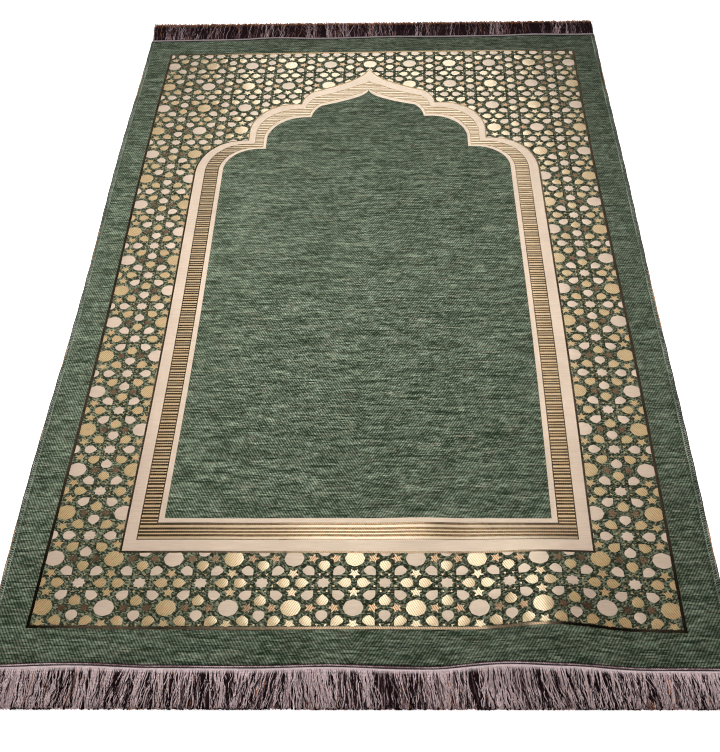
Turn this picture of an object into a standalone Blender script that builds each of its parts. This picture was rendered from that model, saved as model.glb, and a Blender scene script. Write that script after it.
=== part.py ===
"""A prayer rug lying flat: one woven cloth, with a fringe sewn along each of its short ends.

Units are metres and +Z is up. The origin is at the centre of the rug, on the surface it lies on.
+X runs across the rug and +Y along it, towards the end that the woven arch points to.
The cloth is a thin sheet that lies flat but for low ripples at its two ends. Each fringe is a
narrow heading strip with locks of yarn that run out of it and lie down on the surface.
"""

import math
import random
from collections import namedtuple

import bmesh
import bpy

# Driving dimensions
CLOTH_WIDTH = 0.684
CLOTH_LENGTH = 1.143
CLOTH_THICK = 0.0024
PIECE_GAP = 0.0003
HALF_WIDTH = CLOTH_WIDTH / 2
HALF_LENGTH = CLOTH_LENGTH / 2

HEADING_WIDTH = 0.006
HEADING_THICK = 0.0020
LOCK_COUNT = 128
LOCK_LENGTH = 0.042
LOCK_LENGTH_SPREAD = 0.0020
LOCK_ROOT_WIDTH = 0.0030
LOCK_TIP_WIDTH = 0.0014
LOCK_TIP_THICK = 0.0010
LOCK_SETTLE = 0.55           # share of a lock's length in which it comes down to the surface
LOCK_SEGMENTS = 3
FRINGE_SEED = 11

# The sheet's mesh: columns across, and rows that are close together where the ends ripple
COLUMNS = 40
END_ROW = 0.016
MIDDLE_ROW = 0.060
FRONT_ROWS_REACH = 0.240
BACK_ROWS_REACH = 0.064

# The long sides are nearly straight: each waves in and out a little and widens to the front
Side = namedtuple("Side", "wave wave_length crest flare")
LEFT_SIDE = Side(wave=0.0014, wave_length=0.60, crest=0.25, flare=0.0003)
RIGHT_SIDE = Side(wave=0.0004, wave_length=0.50, crest=0.20, flare=0.0018)

# Low ripples that lift the cloth off the surface. Each is highest at (x, y) and dies out at
# reach_x across and reach_y along.
Ripple = namedtuple("Ripple", "x y reach_x reach_y height")
RIPPLES = (
    Ripple(x=0.127, y=-HALF_LENGTH, reach_x=0.060, reach_y=0.040, height=0.0075),
    Ripple(x=0.184, y=-0.526, reach_x=0.078, reach_y=0.140, height=0.0095),
    Ripple(x=-0.256, y=-HALF_LENGTH, reach_x=0.075, reach_y=0.060, height=0.0035),
    Ripple(x=-0.022, y=-HALF_LENGTH, reach_x=0.075, reach_y=0.050, height=0.0032),
    Ripple(x=0.062, y=-0.394, reach_x=0.050, reach_y=0.060, height=0.0016),
    Ripple(x=-0.147, y=HALF_LENGTH, reach_x=0.070, reach_y=0.060, height=0.0022),
    Ripple(x=0.030, y=HALF_LENGTH, reach_x=0.090, reach_y=0.055, height=0.0012),
    Ripple(x=0.250, y=HALF_LENGTH, reach_x=0.060, reach_y=0.050, height=0.0012),
)

# Which way the locks lie: slant is how far a lock's tip strays towards +X for each metre of lock
Slant = namedtuple("Slant", "x slant")
FRONT_SLANTS = (
    Slant(x=-0.342, slant=-0.02),
    Slant(x=-0.290, slant=0.03),
    Slant(x=-0.262, slant=-0.10),
    Slant(x=-0.232, slant=0.00),
    Slant(x=-0.208, slant=-0.14),
    Slant(x=-0.180, slant=-0.03),
    Slant(x=-0.118, slant=0.04),
    Slant(x=-0.070, slant=-0.16),
    Slant(x=-0.052, slant=0.12),
    Slant(x=-0.030, slant=0.18),
    Slant(x=0.040, slant=0.06),
    Slant(x=0.110, slant=0.20),
    Slant(x=0.180, slant=0.22),
    Slant(x=0.230, slant=0.12),
    Slant(x=0.290, slant=0.02),
    Slant(x=0.342, slant=0.05),
)
BACK_SLANTS = (
    Slant(x=-0.342, slant=0.05),
    Slant(x=-0.260, slant=-0.10),
    Slant(x=-0.150, slant=0.06),
    Slant(x=-0.030, slant=-0.05),
    Slant(x=0.100, slant=0.08),
    Slant(x=0.200, slant=-0.08),
    Slant(x=0.270, slant=0.10),
    Slant(x=0.342, slant=0.02),
)

# Colours and roughness of the yarns
GREEN_CHENILLE = (0.060, 0.115, 0.060, 1.0)
MAUVE_YARN = (0.260, 0.190, 0.200, 1.0)
CHENILLE_ROUGHNESS = 0.85
YARN_ROUGHNESS = 0.80

SHARP_EDGE_ANGLE = math.radians(40)


def clear_scene():
    """Start from an empty scene."""
    for obj in list(bpy.data.objects):
        bpy.data.objects.remove(obj, do_unlink=True)


def yarn_material(name, colour, roughness):
    """A plain matt yarn material."""
    material = bpy.data.materials.new(name)
    material.use_nodes = True
    shader = material.node_tree.nodes["Principled BSDF"]
    shader.inputs["Base Color"].default_value = colour
    shader.inputs["Roughness"].default_value = roughness
    shader.inputs["Metallic"].default_value = 0.0
    return material


def hump(distance, reach):
    """1 at no distance, falling smoothly to 0 at the reach."""
    share = min(abs(distance) / reach, 1.0)
    return 0.5 * (1.0 + math.cos(math.pi * share))


def lift(x, y):
    """Height of the cloth's underside over the surface it lies on."""
    return sum(
        ripple.height * hump(x - ripple.x, ripple.reach_x) * hump(y - ripple.y, ripple.reach_y)
        for ripple in RIPPLES
    )


def side_x(share, y):
    """X of a point of the cloth, from its share of the way between the sides: -1 to 1."""
    side = LEFT_SIDE if share < 0 else RIGHT_SIDE
    wave = side.wave * math.cos(2 * math.pi * (y - side.crest) / side.wave_length)
    return share * (HALF_WIDTH + wave - side.flare * y / HALF_LENGTH)


def slant_at(table, x):
    """The slant of a lock at x, read between the rows of its table."""
    for left, right in zip(table, table[1:]):
        if x <= right.x:
            share = max(0.0, (x - left.x) / (right.x - left.x))
            return left.slant + (right.slant - left.slant) * share
    return table[-1].slant


def even_steps(start, end, longest):
    """Places from start to end, evenly apart and no further apart than longest."""
    count = max(1, math.ceil(abs(end - start) / longest - 1e-6))
    return [start + (end - start) * step / count for step in range(count)]


def row_places():
    """Where the cloth's rows lie along Y, close together at the ends that ripple."""
    front_end = -HALF_LENGTH + FRONT_ROWS_REACH
    back_start = HALF_LENGTH - BACK_ROWS_REACH
    rows = even_steps(-HALF_LENGTH, front_end, END_ROW)
    rows += even_steps(front_end, back_start, MIDDLE_ROW)
    rows += even_steps(back_start, HALF_LENGTH, END_ROW)
    return rows + [HALF_LENGTH]


def add_mesh_object(name, bm, material, collection):
    """Turn an edited mesh into a named object of the rug."""
    mesh = bpy.data.meshes.new(name)
    bm.to_mesh(mesh)
    bm.free()
    obj = bpy.data.objects.new(name, mesh)
    mesh.materials.append(material)
    collection.objects.link(obj)
    return obj


def build_cloth(collection, material):
    """The woven cloth: its underside as a grid that follows the ripples, made thick upwards."""
    rows = row_places()
    bm = bmesh.new()
    bmesh.ops.create_grid(bm, x_segments=COLUMNS, y_segments=len(rows) - 1, size=0.5)
    for vert in bm.verts:
        y = rows[round((vert.co.y + 0.5) * (len(rows) - 1))]
        x = side_x(2 * vert.co.x, y)
        vert.co = (x, y, lift(x, y))
    cloth = add_mesh_object("cloth", bm, material, collection)
    cloth.data.shade_smooth()
    cloth.data.set_sharp_from_angle(angle=SHARP_EDGE_ANGLE)

    thickness = cloth.modifiers.new("thickness", "SOLIDIFY")
    thickness.thickness = CLOTH_THICK
    thickness.offset = 1.0
    return cloth


def heading_edges(hem_y):
    """X of the heading strip's column edges: a gap, then a lock's root and a gap in turn."""
    left_end = side_x(-1, hem_y)
    right_end = side_x(1, hem_y)
    pitch = (right_end - left_end) / LOCK_COUNT
    margin = (pitch - LOCK_ROOT_WIDTH) / 2
    edges = [left_end]
    for lock in range(LOCK_COUNT):
        root = left_end + lock * pitch + margin
        edges += [root, root + LOCK_ROOT_WIDTH]
    return edges + [right_end]


def lock_section(root_x, root_lift, slant, length, share):
    """Centre, half width, underside and thickness of a lock at a share of its length."""
    settle = 1.0 - min(share / LOCK_SETTLE, 1.0)
    bottom = root_lift * settle * settle * (3.0 - 2.0 * settle)
    half_width = (LOCK_ROOT_WIDTH + (LOCK_TIP_WIDTH - LOCK_ROOT_WIDTH) * share) / 2
    thick = HEADING_THICK + (LOCK_TIP_THICK - HEADING_THICK) * share
    centre = root_x + slant * length * share
    return centre, half_width, bottom, thick


def grow_lock(bm, face, outward, slant, length):
    """Draw one face of the heading strip out into a tapering lock that lies down."""
    root_x = face.calc_center_median().x
    root_y = face.calc_center_median().y
    root_lift = lift(root_x, math.copysign(HALF_LENGTH, outward))
    for step in range(1, LOCK_SEGMENTS + 1):
        middle = face.calc_center_median()
        face = bmesh.ops.extrude_discrete_faces(bm, faces=[face])["faces"][0]
        share = step / LOCK_SEGMENTS
        centre, half_width, bottom, thick = lock_section(root_x, root_lift, slant, length, share)
        for vert in face.verts:
            is_top = vert.co.z > middle.z
            vert.co.x = centre + math.copysign(half_width, vert.co.x - middle.x)
            vert.co.y = root_y + outward * length * share
            vert.co.z = bottom + (thick if is_top else 0.0)


def build_fringe(collection, material, name, outward, slants):
    """A heading strip beside one short end of the cloth, with its row of locks.

    outward is 1 at the end the arch points to and -1 at the other."""
    hem_y = outward * HALF_LENGTH
    edges = heading_edges(hem_y)
    inner_y = hem_y + outward * PIECE_GAP
    outer_y = inner_y + outward * HEADING_WIDTH
    bm = bmesh.new()
    bmesh.ops.create_grid(bm, x_segments=len(edges) - 1, y_segments=1, size=0.5)
    for vert in bm.verts:
        column = round((vert.co.x + 0.5) * (len(edges) - 1))
        vert.co.x = edges[column]
        vert.co.y = outer_y if vert.co.y * outward > 0 else inner_y
        vert.co.z = lift(vert.co.x, hem_y)
    raised = bmesh.ops.extrude_face_region(bm, geom=bm.faces[:])
    for item in raised["geom"]:
        if isinstance(item, bmesh.types.BMVert):
            item.co.z += HEADING_THICK
    bmesh.ops.recalc_face_normals(bm, faces=bm.faces[:])

    draw = random.Random(FRINGE_SEED + outward)
    outer_faces = [face for face in bm.faces if face.normal.y * outward > 0.5]
    outer_faces.sort(key=lambda face: face.calc_center_median().x)
    for face in outer_faces[1::2]:
        slant = slant_at(slants, face.calc_center_median().x)
        length = LOCK_LENGTH + draw.uniform(-1.0, 1.0) * LOCK_LENGTH_SPREAD
        grow_lock(bm, face, outward, slant, length)
    bmesh.ops.recalc_face_normals(bm, faces=bm.faces[:])
    return add_mesh_object(name, bm, material, collection)


def main():
    clear_scene()
    rug = bpy.data.collections.new("prayer_rug")
    bpy.context.scene.collection.children.link(rug)

    chenille = yarn_material("green_chenille", GREEN_CHENILLE, CHENILLE_ROUGHNESS)
    front_yarn = yarn_material("front_yarn", MAUVE_YARN, YARN_ROUGHNESS)
    back_yarn = yarn_material("back_yarn", MAUVE_YARN, YARN_ROUGHNESS)
    build_cloth(rug, chenille)
    build_fringe(rug, front_yarn, "fringe_front", -1, FRONT_SLANTS)
    build_fringe(rug, back_yarn, "fringe_back", 1, BACK_SLANTS)


main()
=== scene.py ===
"""The look of a prayer rug that lies flat.

A woven cloth has a lattice border round a pointed arch, its long sides are overlocked, and a
fringe of twisted yarn is sewn along each short end. Units are metres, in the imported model's
frame: +X runs across the rug, +Y along it towards the end that the arch points to, +Z up.

The cloth's pattern is drawn in plan as closed outlines, region upon region. The sheet is then
triangulated along those outlines, so each woven figure is a patch of faces with the material of
its yarn, and stands a little above the chenille round it.
"""

import math
from collections import namedtuple

import bmesh
import bpy
import numpy as np
from mathutils import Matrix, Vector, kdtree
from mathutils.geometry import delaunay_2d_cdt


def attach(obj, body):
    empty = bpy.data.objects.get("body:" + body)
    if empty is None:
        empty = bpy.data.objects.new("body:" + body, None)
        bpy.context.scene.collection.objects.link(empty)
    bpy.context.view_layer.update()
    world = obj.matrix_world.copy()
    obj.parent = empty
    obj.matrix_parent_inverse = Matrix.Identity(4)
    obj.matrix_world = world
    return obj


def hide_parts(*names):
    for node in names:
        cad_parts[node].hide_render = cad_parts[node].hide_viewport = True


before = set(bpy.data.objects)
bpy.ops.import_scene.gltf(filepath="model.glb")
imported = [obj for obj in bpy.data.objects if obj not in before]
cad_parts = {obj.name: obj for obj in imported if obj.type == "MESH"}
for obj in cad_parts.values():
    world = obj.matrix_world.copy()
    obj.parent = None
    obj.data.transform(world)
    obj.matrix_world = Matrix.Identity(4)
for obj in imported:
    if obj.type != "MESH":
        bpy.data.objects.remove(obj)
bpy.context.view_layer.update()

# ---- The cloth's size and lie, as in the solid model
CLOTH_WIDTH = 0.684
CLOTH_LENGTH = 1.143
CLOTH_THICK = 0.0024
HALF_WIDTH = CLOTH_WIDTH / 2
HALF_LENGTH = CLOTH_LENGTH / 2
WHOLE_TURN = 2 * math.pi

Side = namedtuple("Side", "wave wave_length crest flare")
LEFT_SIDE = Side(wave=0.0014, wave_length=0.60, crest=0.25, flare=0.0003)
RIGHT_SIDE = Side(wave=0.0004, wave_length=0.50, crest=0.20, flare=0.0018)

# Low ripples that lift the cloth off the surface. Each is highest at (x, y) and dies out at
# reach_x across and reach_y along.
Ripple = namedtuple("Ripple", "x y reach_x reach_y height")
RIPPLES = (
    Ripple(0.127, -HALF_LENGTH, 0.060, 0.040, 0.0075),
    Ripple(0.184, -0.526, 0.078, 0.140, 0.0095),
    Ripple(-0.256, -HALF_LENGTH, 0.075, 0.060, 0.0035),
    Ripple(-0.022, -HALF_LENGTH, 0.075, 0.050, 0.0032),
    Ripple(0.062, -0.394, 0.050, 0.060, 0.0016),
    Ripple(-0.147, HALF_LENGTH, 0.070, 0.060, 0.0022),
    Ripple(0.030, HALF_LENGTH, 0.090, 0.055, 0.0012),
    Ripple(0.250, HALF_LENGTH, 0.060, 0.050, 0.0012),
)

# Soft creases pressed into the cloth: narrow troughs in its upper face only
Crease = namedtuple("Crease", "x y reach_x reach_y depth")
CREASES = (
    Crease(-0.0015, -0.435, 0.0035, 0.030, 0.00045),
    Crease(0.0040, -0.438, 0.0025, 0.020, 0.00030),
    Crease(-0.0750, -0.432, 0.0030, 0.020, 0.00030),
    Crease(-0.0015, 0.430, 0.0030, 0.070, 0.00030),
)

# ---- The woven pattern, in repeats of the border's square lattice: i runs across, j towards the
# front. An eight-pointed star is at the middle of each square and a rosette at each corner.
REPEAT = 0.680 / 11.55
MIRROR_X = -0.0015           # the pattern is mirrored about this line
MIRROR_I = 5                 # which is this column of rosettes
TOP_J_Y = 0.4938             # where row 0 of the rosettes lies

# The weave isn't quite square: its lines along the rug sway to and fro
SWAY_SIZE = 0.0015
SWAY_WAVE_LENGTH = 0.88
SWAY_CREST = -0.16
SWAY_MIDDLE = 0.0007
SWAY_SPREAD = 0.0025

# Its border also lies in front of square: by the first in the middle, and elsewhere also by
# the others times what their names say
DROP_MIDDLE = 0.0021
DROP_BY_Y = 0.0029
DROP_BY_X = -0.0039
DROP_BY_X_Y = 0.0053
DROP_BY_X_X = 0.0174
DROP_BY_X_X_X = 0.116

Frame = namedtuple("Frame", "left right top bottom")
FRAME_LINE = Frame(left=-0.155, right=10.163, top=-0.600, bottom=17.390)
FRAME_LINE_HALF = 0.0300

STAR_RADIUS = 0.118
ROSETTE_RADIUS = 0.165
ROSETTE_POINT = 0.004
SHIELD_NEAR = 0.226          # from the star's centre to an axis shield's point
SHIELD_MIDDLE = 0.362
SHIELD_FAR = 0.455           # to its blunt end
SHIELD_HALF_LENGTH = 0.100
SHIELD_HALF_WIDTH = 0.101
CORNER_SHIELD_NEAR = 0.150
CORNER_SHIELD_MIDDLE = 0.252
CORNER_SHIELD_RADIUS = 0.098
CORNER_SHIELD_POINT = 0.007
SMALL_STAR_RADIUS = 0.114
SMALL_STAR_WAIST = 0.48
SMALL_STAR_OUT = 0.310       # from the rosette's centre
SPECK_ALONG = 0.172
SPECK_ASIDE = 0.067
SPECK_RADIUS = 0.037

# The larger figures are faintly padded. A pad's middle is given in a square folded over so that
# its rosette is at (0, 0) and its star at (0.5, 0.5).
Pad = namedtuple("Pad", "i j reach")
PADS = (
    Pad(0.0, 0.0, ROSETTE_RADIUS),
    Pad(0.5, 0.5, STAR_RADIUS),
    Pad(0.5 - SHIELD_MIDDLE, 0.5, SHIELD_HALF_LENGTH),
    Pad(0.5, 0.5 - SHIELD_MIDDLE, SHIELD_HALF_LENGTH),
    Pad(0.5 - CORNER_SHIELD_MIDDLE, 0.5 - CORNER_SHIELD_MIDDLE, CORNER_SHIELD_RADIUS),
)
PAD_HEIGHT = 0.00014

# The arch's two outlines are rounded lobes below a pointed tip. h is measured from the mirror
# line and v as j. A lobe is a quarter of an ellipse: its middle, half width and half height,
# and the v where it starts.
Tip = namedtuple("Tip", "v spread")
Lobe = namedtuple("Lobe", "h v half_width half_height start")
OUTER_TIP = Tip(v=0.16, spread=0.965)
OUTER_LOBES = (
    Lobe(1.00, 1.95, 0.62, 0.75, 1.16),
    Lobe(1.80, 3.11, 1.00, 1.20, 1.907),
    Lobe(3.00, 4.81, 0.94, 1.30, 3.51),
)
OUTER_BOTTOM = 15.905
FIELD_TIP = Tip(v=1.29, spread=2.15)
FIELD_LOBES = (
    Lobe(0.76, 2.55, 0.580, 0.68, 1.84),
    Lobe(1.50, 3.49, 0.850, 0.96, 2.530),
    Lobe(2.50, 4.71, 0.775, 0.84, 3.870),
)
FIELD_BOTTOM = 15.145

# Lines and bands between the two. A band's outline lies at its share of the way from the outer
# outline to the field's, and at its tip share above the field's tip.
Band = namedtuple("Band", "yarn share tip_share bottom")
ARCH_BANDS = (
    Band("dark_lurex", 0.0, 0.0, OUTER_BOTTOM),
    Band("cream", 0.062, 0.05, 15.858),
    Band("dark_lurex", 0.370, 0.60, 15.622),
    Band("stripes", 0.397, 0.62, 15.604),
    Band("dark_lurex", 0.822, 0.90, 15.276),
    Band("cream", 0.850, 0.915, 15.244),
    Band("chenille", 1.0, 1.0, FIELD_BOTTOM),
)
TIP_POINTS = 24
TIP_CROWDING = 1.6           # above 1, the tip's points lie closer towards its top
TIP_BLEND = 0.40             # how far from the mirror line a band's tip share tells
LOBE_POINTS = 23
ARCH_MARGIN = 0.1            # figures further inside the arch than this are left out

LEG_STRIPE_PERIOD = 0.2275
BAR_STRIPE_PERIOD = 0.2500
BAR_STRIPE_START = 15.296
Stripe = namedtuple("Stripe", "middle sharpness")     # in each period
STRIPES = (Stripe(0.13, 4.3), Stripe(0.485, 8.2), Stripe(0.765, 8.2))
STRAP_LINE_PLACE = 0.36      # of the straps' darker lines, in a square folded as for the pads

# ---- The weave
FLAT_YARNS = ("beige", "cream", "gold", "copper", "dark_lurex", "stripes")
YARNS = ("chenille", "straps", *FLAT_YARNS, "underside")
FLAT_RISE = 0.00025          # how far the flat figures stand above the chenille
FLAT_SLOPE = 0.00026
Twill = namedtuple("Twill", "pitch lean")
CHENILLE_TWILL = Twill(pitch=0.00292, lean=-0.52)
LUREX_TWILL = Twill(pitch=0.00230, lean=0.53)
PICK = 0.00220               # from one weft yarn to the next
THIN_PICK = 0.00145
FINE_PICK = 0.00085
GRID_STEP = 0.0075
GRID_CLEARANCE = 0.0032      # grid points keep this far from an outline's points
UNDERSIDE_STEP = 0.018
MAP_MARGIN = 0.01            # round the cloth's faces in its flat map
CELL_MARGIN_U = 0.05         # round each tube in its cell of the bake's map
CELL_MARGIN_V = 0.02
LONG_EDGE_STEP = 0.007       # no outline has a longer edge
HEM_ROUNDING = 0.0006
CLOTH_SHARP_FROM = math.radians(24)
CLEARANCE = 0.0001           # from what the cloth lies on
FLATNESS = 0.00030           # height of the faint waves all over the cloth
EDGE_SHADE_FROM = 0.0066     # painted shade: the chenille is darker from here to its sides, under the overlock stitches
EDGE_SHADE_FULL = 0.0050

# ---- The fringe
Cord = namedtuple("Cord", "out radius pitch shade")
# The front's dark cord beside the cloth is partly a dark thread and partly painted shade at the join
FRONT_CORDS = (
    Cord(0.0006, 0.00030, 0.0030, "dark"),
    Cord(0.0018, 0.00040, 0.0042, "mauve"),
)
BACK_CORDS = (
    Cord(-0.0036, 0.00036, 0.0040, "dark"),
    Cord(0.0004, 0.00036, 0.0040, "dark"),
)
CORD_SUNK = 0.0004           # how far a cord's middle lies below the cloth's upper face
CORD_UNEVEN = 0.00015
PLY_THICK = 1.15             # times its distance from the cord's middle
Heading = namedtuple("Heading", "start end dark_until thick shade")
FRONT_HEADING = Heading(start=0.0002, end=0.0062, dark_until=0.0037, thick=0.0021, shade=1.0)
BACK_HEADING = Heading(start=-0.0046, end=0.0014, dark_until=-0.0040, thick=0.0032, shade=0.42)

HEADING_PITCH = 0.0009       # from one yarn of the heading to the next
HEADING_STEPS = 342
HEADING_SHARP_FROM = math.radians(50)
HEADING_CROWN = 0.0003
HEADING_DIP = 0.0006         # how far its outer edge is lower

# A fringe is two layers of strands. Each strand's tone picks its colour. The lower layer's thick
# strands
# take the lower tones, mostly slate: partly dark yarn and partly painted shade deep in the fringe.
Layer = namedtuple("Layer", "count radius bottom rise wave lean tone_low tone_high clumps pull stray")
FRINGE_LAYERS = (
    Layer(count=440, radius=0.00150, bottom=0.0, rise=0.0003, wave=0.0004, lean=0.0,
          tone_low=0.0, tone_high=0.74, clumps=60, pull=0.0, stray=0.20),
    Layer(count=1600, radius=0.00040, bottom=0.0026, rise=0.0018, wave=0.0013, lean=0.11,
          tone_low=0.06, tone_high=1.0, clumps=150, pull=0.10, stray=0.45),
)
FRINGE_SEED = 12
STRAND_STEPS = 12
STRAND_SIDES = 4
RAGGED = 0.0008              # how much the strands' ends vary
ROOT_RAGGED = 0.0012
CLUMP_LEAN = 0.4             # how far whole clumps lean, in their layer's leans
STRAND_LEAN = 1.2            # and single strands in them
CLUMP_TONE = 0.16            # how much clumps differ in tone
STRAND_WAVE_LENGTHS = (0.012, 0.032)
STRAND_WAVE_GROWTH = 3.0     # its waves are whole after one share in this many of its run
HUMP_SIZE = 0.0006           # height of a strand's up and down waves
HUMP_STRETCH = 1.3           # and their length, times that of its side waves
STRAND_RADII = (0.80, 1.15)  # the thinnest and thickest, times their layer's radius
STRAND_TAPER = 0.20
STRAND_SETTLE = 0.5          # share of its run in which a strand comes down
GATHER_POWER = 1.3           # above 1, strands draw together late in their run
LOW_POWER = 1.6              # above 1, more strands lie low in their layer
FRINGE_INSET = 0.0008        # of the outermost roots from the hem's ends
FRINGE_SPILL = 0.003         # how far strands may lie past the hem's ends

# How far the strands slant along a fringe: pairs of x and slant
FRONT_SLANTS = (
    (-0.342, -0.02), (-0.290, 0.03), (-0.262, -0.10), (-0.232, 0.00),
    (-0.208, -0.14), (-0.180, -0.03), (-0.118, 0.04), (-0.070, -0.16),
    (-0.052, 0.12), (-0.030, 0.18), (0.040, 0.06), (0.110, 0.20),
    (0.180, 0.22), (0.230, 0.12), (0.290, 0.02), (0.342, 0.05),
)
BACK_SLANTS = (
    (-0.342, -0.06), (-0.260, -0.08), (-0.150, 0.06), (-0.030, -0.05),
    (0.100, 0.08), (0.200, -0.08), (0.270, 0.10), (0.342, 0.02),
)

# A fringe's strands start at the root and end at the reach, both outside the hem
FringeEnd = namedtuple(
    "FringeEnd",
    "name outward slants cords heading root reach_left reach_right slate mid light tipped",
)
FRINGES = (
    FringeEnd(name="front", outward=-1, slants=FRONT_SLANTS, cords=FRONT_CORDS,
              heading=FRONT_HEADING, root=0.0060, reach_left=0.0476, reach_right=0.0428,
              slate=0.40, mid=0.52, light=0.985, tipped=0.03),
    FringeEnd(name="back", outward=1, slants=BACK_SLANTS, cords=BACK_CORDS,
              heading=BACK_HEADING, root=0.0014, reach_left=0.0500, reach_right=0.0396,
              slate=0.78, mid=0.99, light=0.975, tipped=0.85),
)

# ---- Overlocked sides
STITCH_PITCH = 0.0028
STITCH_REACH = 0.0042
STITCH_SLANT = 0.0030
STITCH_RADIUS = 0.00030
STITCH_OVER = 0.62           # shares of a stitch over the edge, round it and under it
STITCH_ROUND = 0.30
STITCH_UNDER = 0.08
STITCH_DIP = 0.12            # and the share at its start that dips into the cloth
STITCH_DIP_DEPTH = 0.0006
STITCH_BULGE = 0.0003        # how far it stands off the edge
STITCH_TUCK = 0.0010         # how far it runs in below
STITCH_UNEVEN = 0.0003       # how much stitches vary along the rug
STITCH_REACH_UNEVEN = 0.0007

# Threads that run along a long side: a chain over the stitches' inner ends, and one round
# the cloth's edge
SideThread = namedtuple("SideThread", "name inward height sway radius")
CHAIN = SideThread(name="chain", inward=0.0040, height=0.0025, sway=0.00075, radius=0.00036)
EDGE_THREAD = SideThread(name="edge", inward=-0.0006, height=0.0016, sway=0.0, radius=0.00070)
SIDE_THREAD_UNEVEN = 0.0002

# ---- Colours: red, green and blue
GREEN_DARK = (0.010, 0.022, 0.008)
GREEN_LIGHT = (0.412, 0.494, 0.352)
TAN_FLECK = (0.400, 0.315, 0.240)
STRAP_DARK = (0.011, 0.015, 0.005)
STRAP_LIGHT = (0.430, 0.470, 0.310)
BEIGE_DARK = (0.488, 0.358, 0.278)
BEIGE_LIGHT = (0.606, 0.450, 0.362)
GOLD_DARK = (0.190, 0.130, 0.075)
GOLD_ORANGE = (0.640, 0.398, 0.188)
GOLD_OLIVE = (0.570, 0.415, 0.182)
COPPER_DARK = (0.095, 0.058, 0.034)
COPPER_LIGHT = (0.195, 0.122, 0.068)
DARK_LUREX_DARK = (0.040, 0.028, 0.018)
DARK_LUREX_LIGHT = (0.110, 0.079, 0.050)
BROWN_LUREX_DARK = (0.032, 0.017, 0.007)
BROWN_LUREX_LIGHT = (0.125, 0.080, 0.038)
UNDERSIDE_DARK = (0.120, 0.130, 0.100)
UNDERSIDE_LIGHT = (0.330, 0.310, 0.240)
PALE_PINK = (0.860, 0.690, 0.700)
MAUVE_LIGHT = (0.980, 0.765, 0.775)
MAUVE_MID = (0.280, 0.160, 0.170)
SLATE = (0.022, 0.007, 0.010)
RUST = (0.420, 0.170, 0.075)
ORANGE = (0.420, 0.160, 0.060)
EDGE_DARK = (0.050, 0.022, 0.016)
EDGE_LIGHT = (0.560, 0.290, 0.150)
OVERLOCK_LIGHT = (0.520, 0.580, 0.470)
OVERLOCK_DARK = (0.090, 0.125, 0.080)
WHITE = (1.0, 1.0, 1.0)
FLOOR_GLOW = 0.80
WORLD_GLOW = 0.05
FLOOR_RADIUS = 9.0
FLOOR_DROP = 0.0002          # keeps the floor just below the rug's underside

# ---- Lights: a soft box over each long side, and a tall row of them behind the far end. The
# metallic yarns mirror that row, which is wider at its top, down the middle of the rug. A box's
# spread is the angle that it lights, in degrees.
SoftBox = namedtuple("SoftBox", "name place target width height power spread")
SOFT_BOXES = (
    SoftBox("left_box", (-1.25, 0.02, 1.45), (-0.08, 0.02, 0.0), 1.0, 1.0, 3.45, 50),
    SoftBox("right_box", (1.25, -0.15, 1.45), (-0.08, -0.10, 0.0), 1.0, 1.0, 2.4, 50),
    SoftBox("far_box_low", (-0.045, 2.6, 1.15), (-0.045, 0.0, 1.15), 0.90, 0.5, 7.5, 180),
    SoftBox("far_box_middle", (-0.005, 2.6, 2.3), (-0.005, 0.0, 2.3), 1.01, 1.8, 34.5, 180),
    SoftBox("far_box_high", (-0.150, 2.6, 3.55), (-0.150, 0.0, 3.55), 0.80, 0.7, 16.7, 180),
    SoftBox("far_box_top", (-0.120, 2.6, 4.45), (-0.120, 0.0, 4.45), 0.96, 1.1, 31.5, 180),
    SoftBox("far_box_wide", (-0.030, 2.6, 4.35), (-0.030, 0.0, 4.35), 2.40, 1.6, 12.0, 180),
)

# ---- Camera, as worked out from the photograph: a lens shift keeps its own framing
CAMERA_PLACE = Vector((0.0446, -1.24205, 0.9938))
CAMERA_PITCH = math.radians(43.256)      # below the horizon
CAMERA_YAW = math.radians(-3.585)        # towards +X from +Y
CAMERA_ROLL = math.radians(-2.718)
CAMERA_LENS = 62.01
CAMERA_SENSOR = 36.0
CAMERA_SHIFT_X = 0.0229


# ==== Shape helpers
def hump(distance, reach):
    """1 at no distance, falling smoothly to 0 at the reach."""
    share = np.minimum(np.abs(distance) / reach, 1.0)
    return 0.5 * (1.0 + np.cos(np.pi * share))


def lift(x, y):
    """Height of the cloth's underside over the surface it lies on."""
    return sum(
        ripple.height * hump(x - ripple.x, ripple.reach_x) * hump(y - ripple.y, ripple.reach_y)
        for ripple in RIPPLES
    )


def side_x(share, y):
    """X of a point of the cloth, from its share of the way between the sides: -1 to 1."""
    side = LEFT_SIDE if share < 0 else RIGHT_SIDE
    wave = side.wave * np.cos(WHOLE_TURN * (y - side.crest) / side.wave_length)
    return share * (HALF_WIDTH + wave - side.flare * y / HALF_LENGTH)


def faint_waves(x, y):
    """A cloth that lies flat is never quite flat."""
    return FLATNESS * (
        0.5 * np.sin(41.0 * x + 9.0 * y)
        + 0.3 * np.sin(17.0 * x - 33.0 * y + 1.0)
        + 0.2 * np.sin(67.0 * x + 52.0 * y + 2.0)
    )


def top_height(x, y):
    """Height of the cloth's upper face."""
    creases = sum(
        crease.depth * hump(x - crease.x, crease.reach_x) * hump(y - crease.y, crease.reach_y)
        for crease in CREASES
    )
    return lift(x, y) + CLOTH_THICK + faint_waves(x, y) - creases


def sway(x, y):
    """How far to the right of square the weave lies at a point, given as numbers or fields."""
    turn = (y - SWAY_CREST) * (WHOLE_TURN / SWAY_WAVE_LENGTH)
    wave = turn.cosine() if isinstance(turn, Field) else math.cos(turn)
    return wave * SWAY_SIZE + x * SWAY_SPREAD + SWAY_MIDDLE


def drop(x, y):
    """How far in front of square the border lies: most at the back right corner."""
    across = x * DROP_BY_X_X + DROP_BY_X + x * x * DROP_BY_X_X_X + y * DROP_BY_X_Y
    return x * across + y * DROP_BY_Y + DROP_MIDDLE


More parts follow.
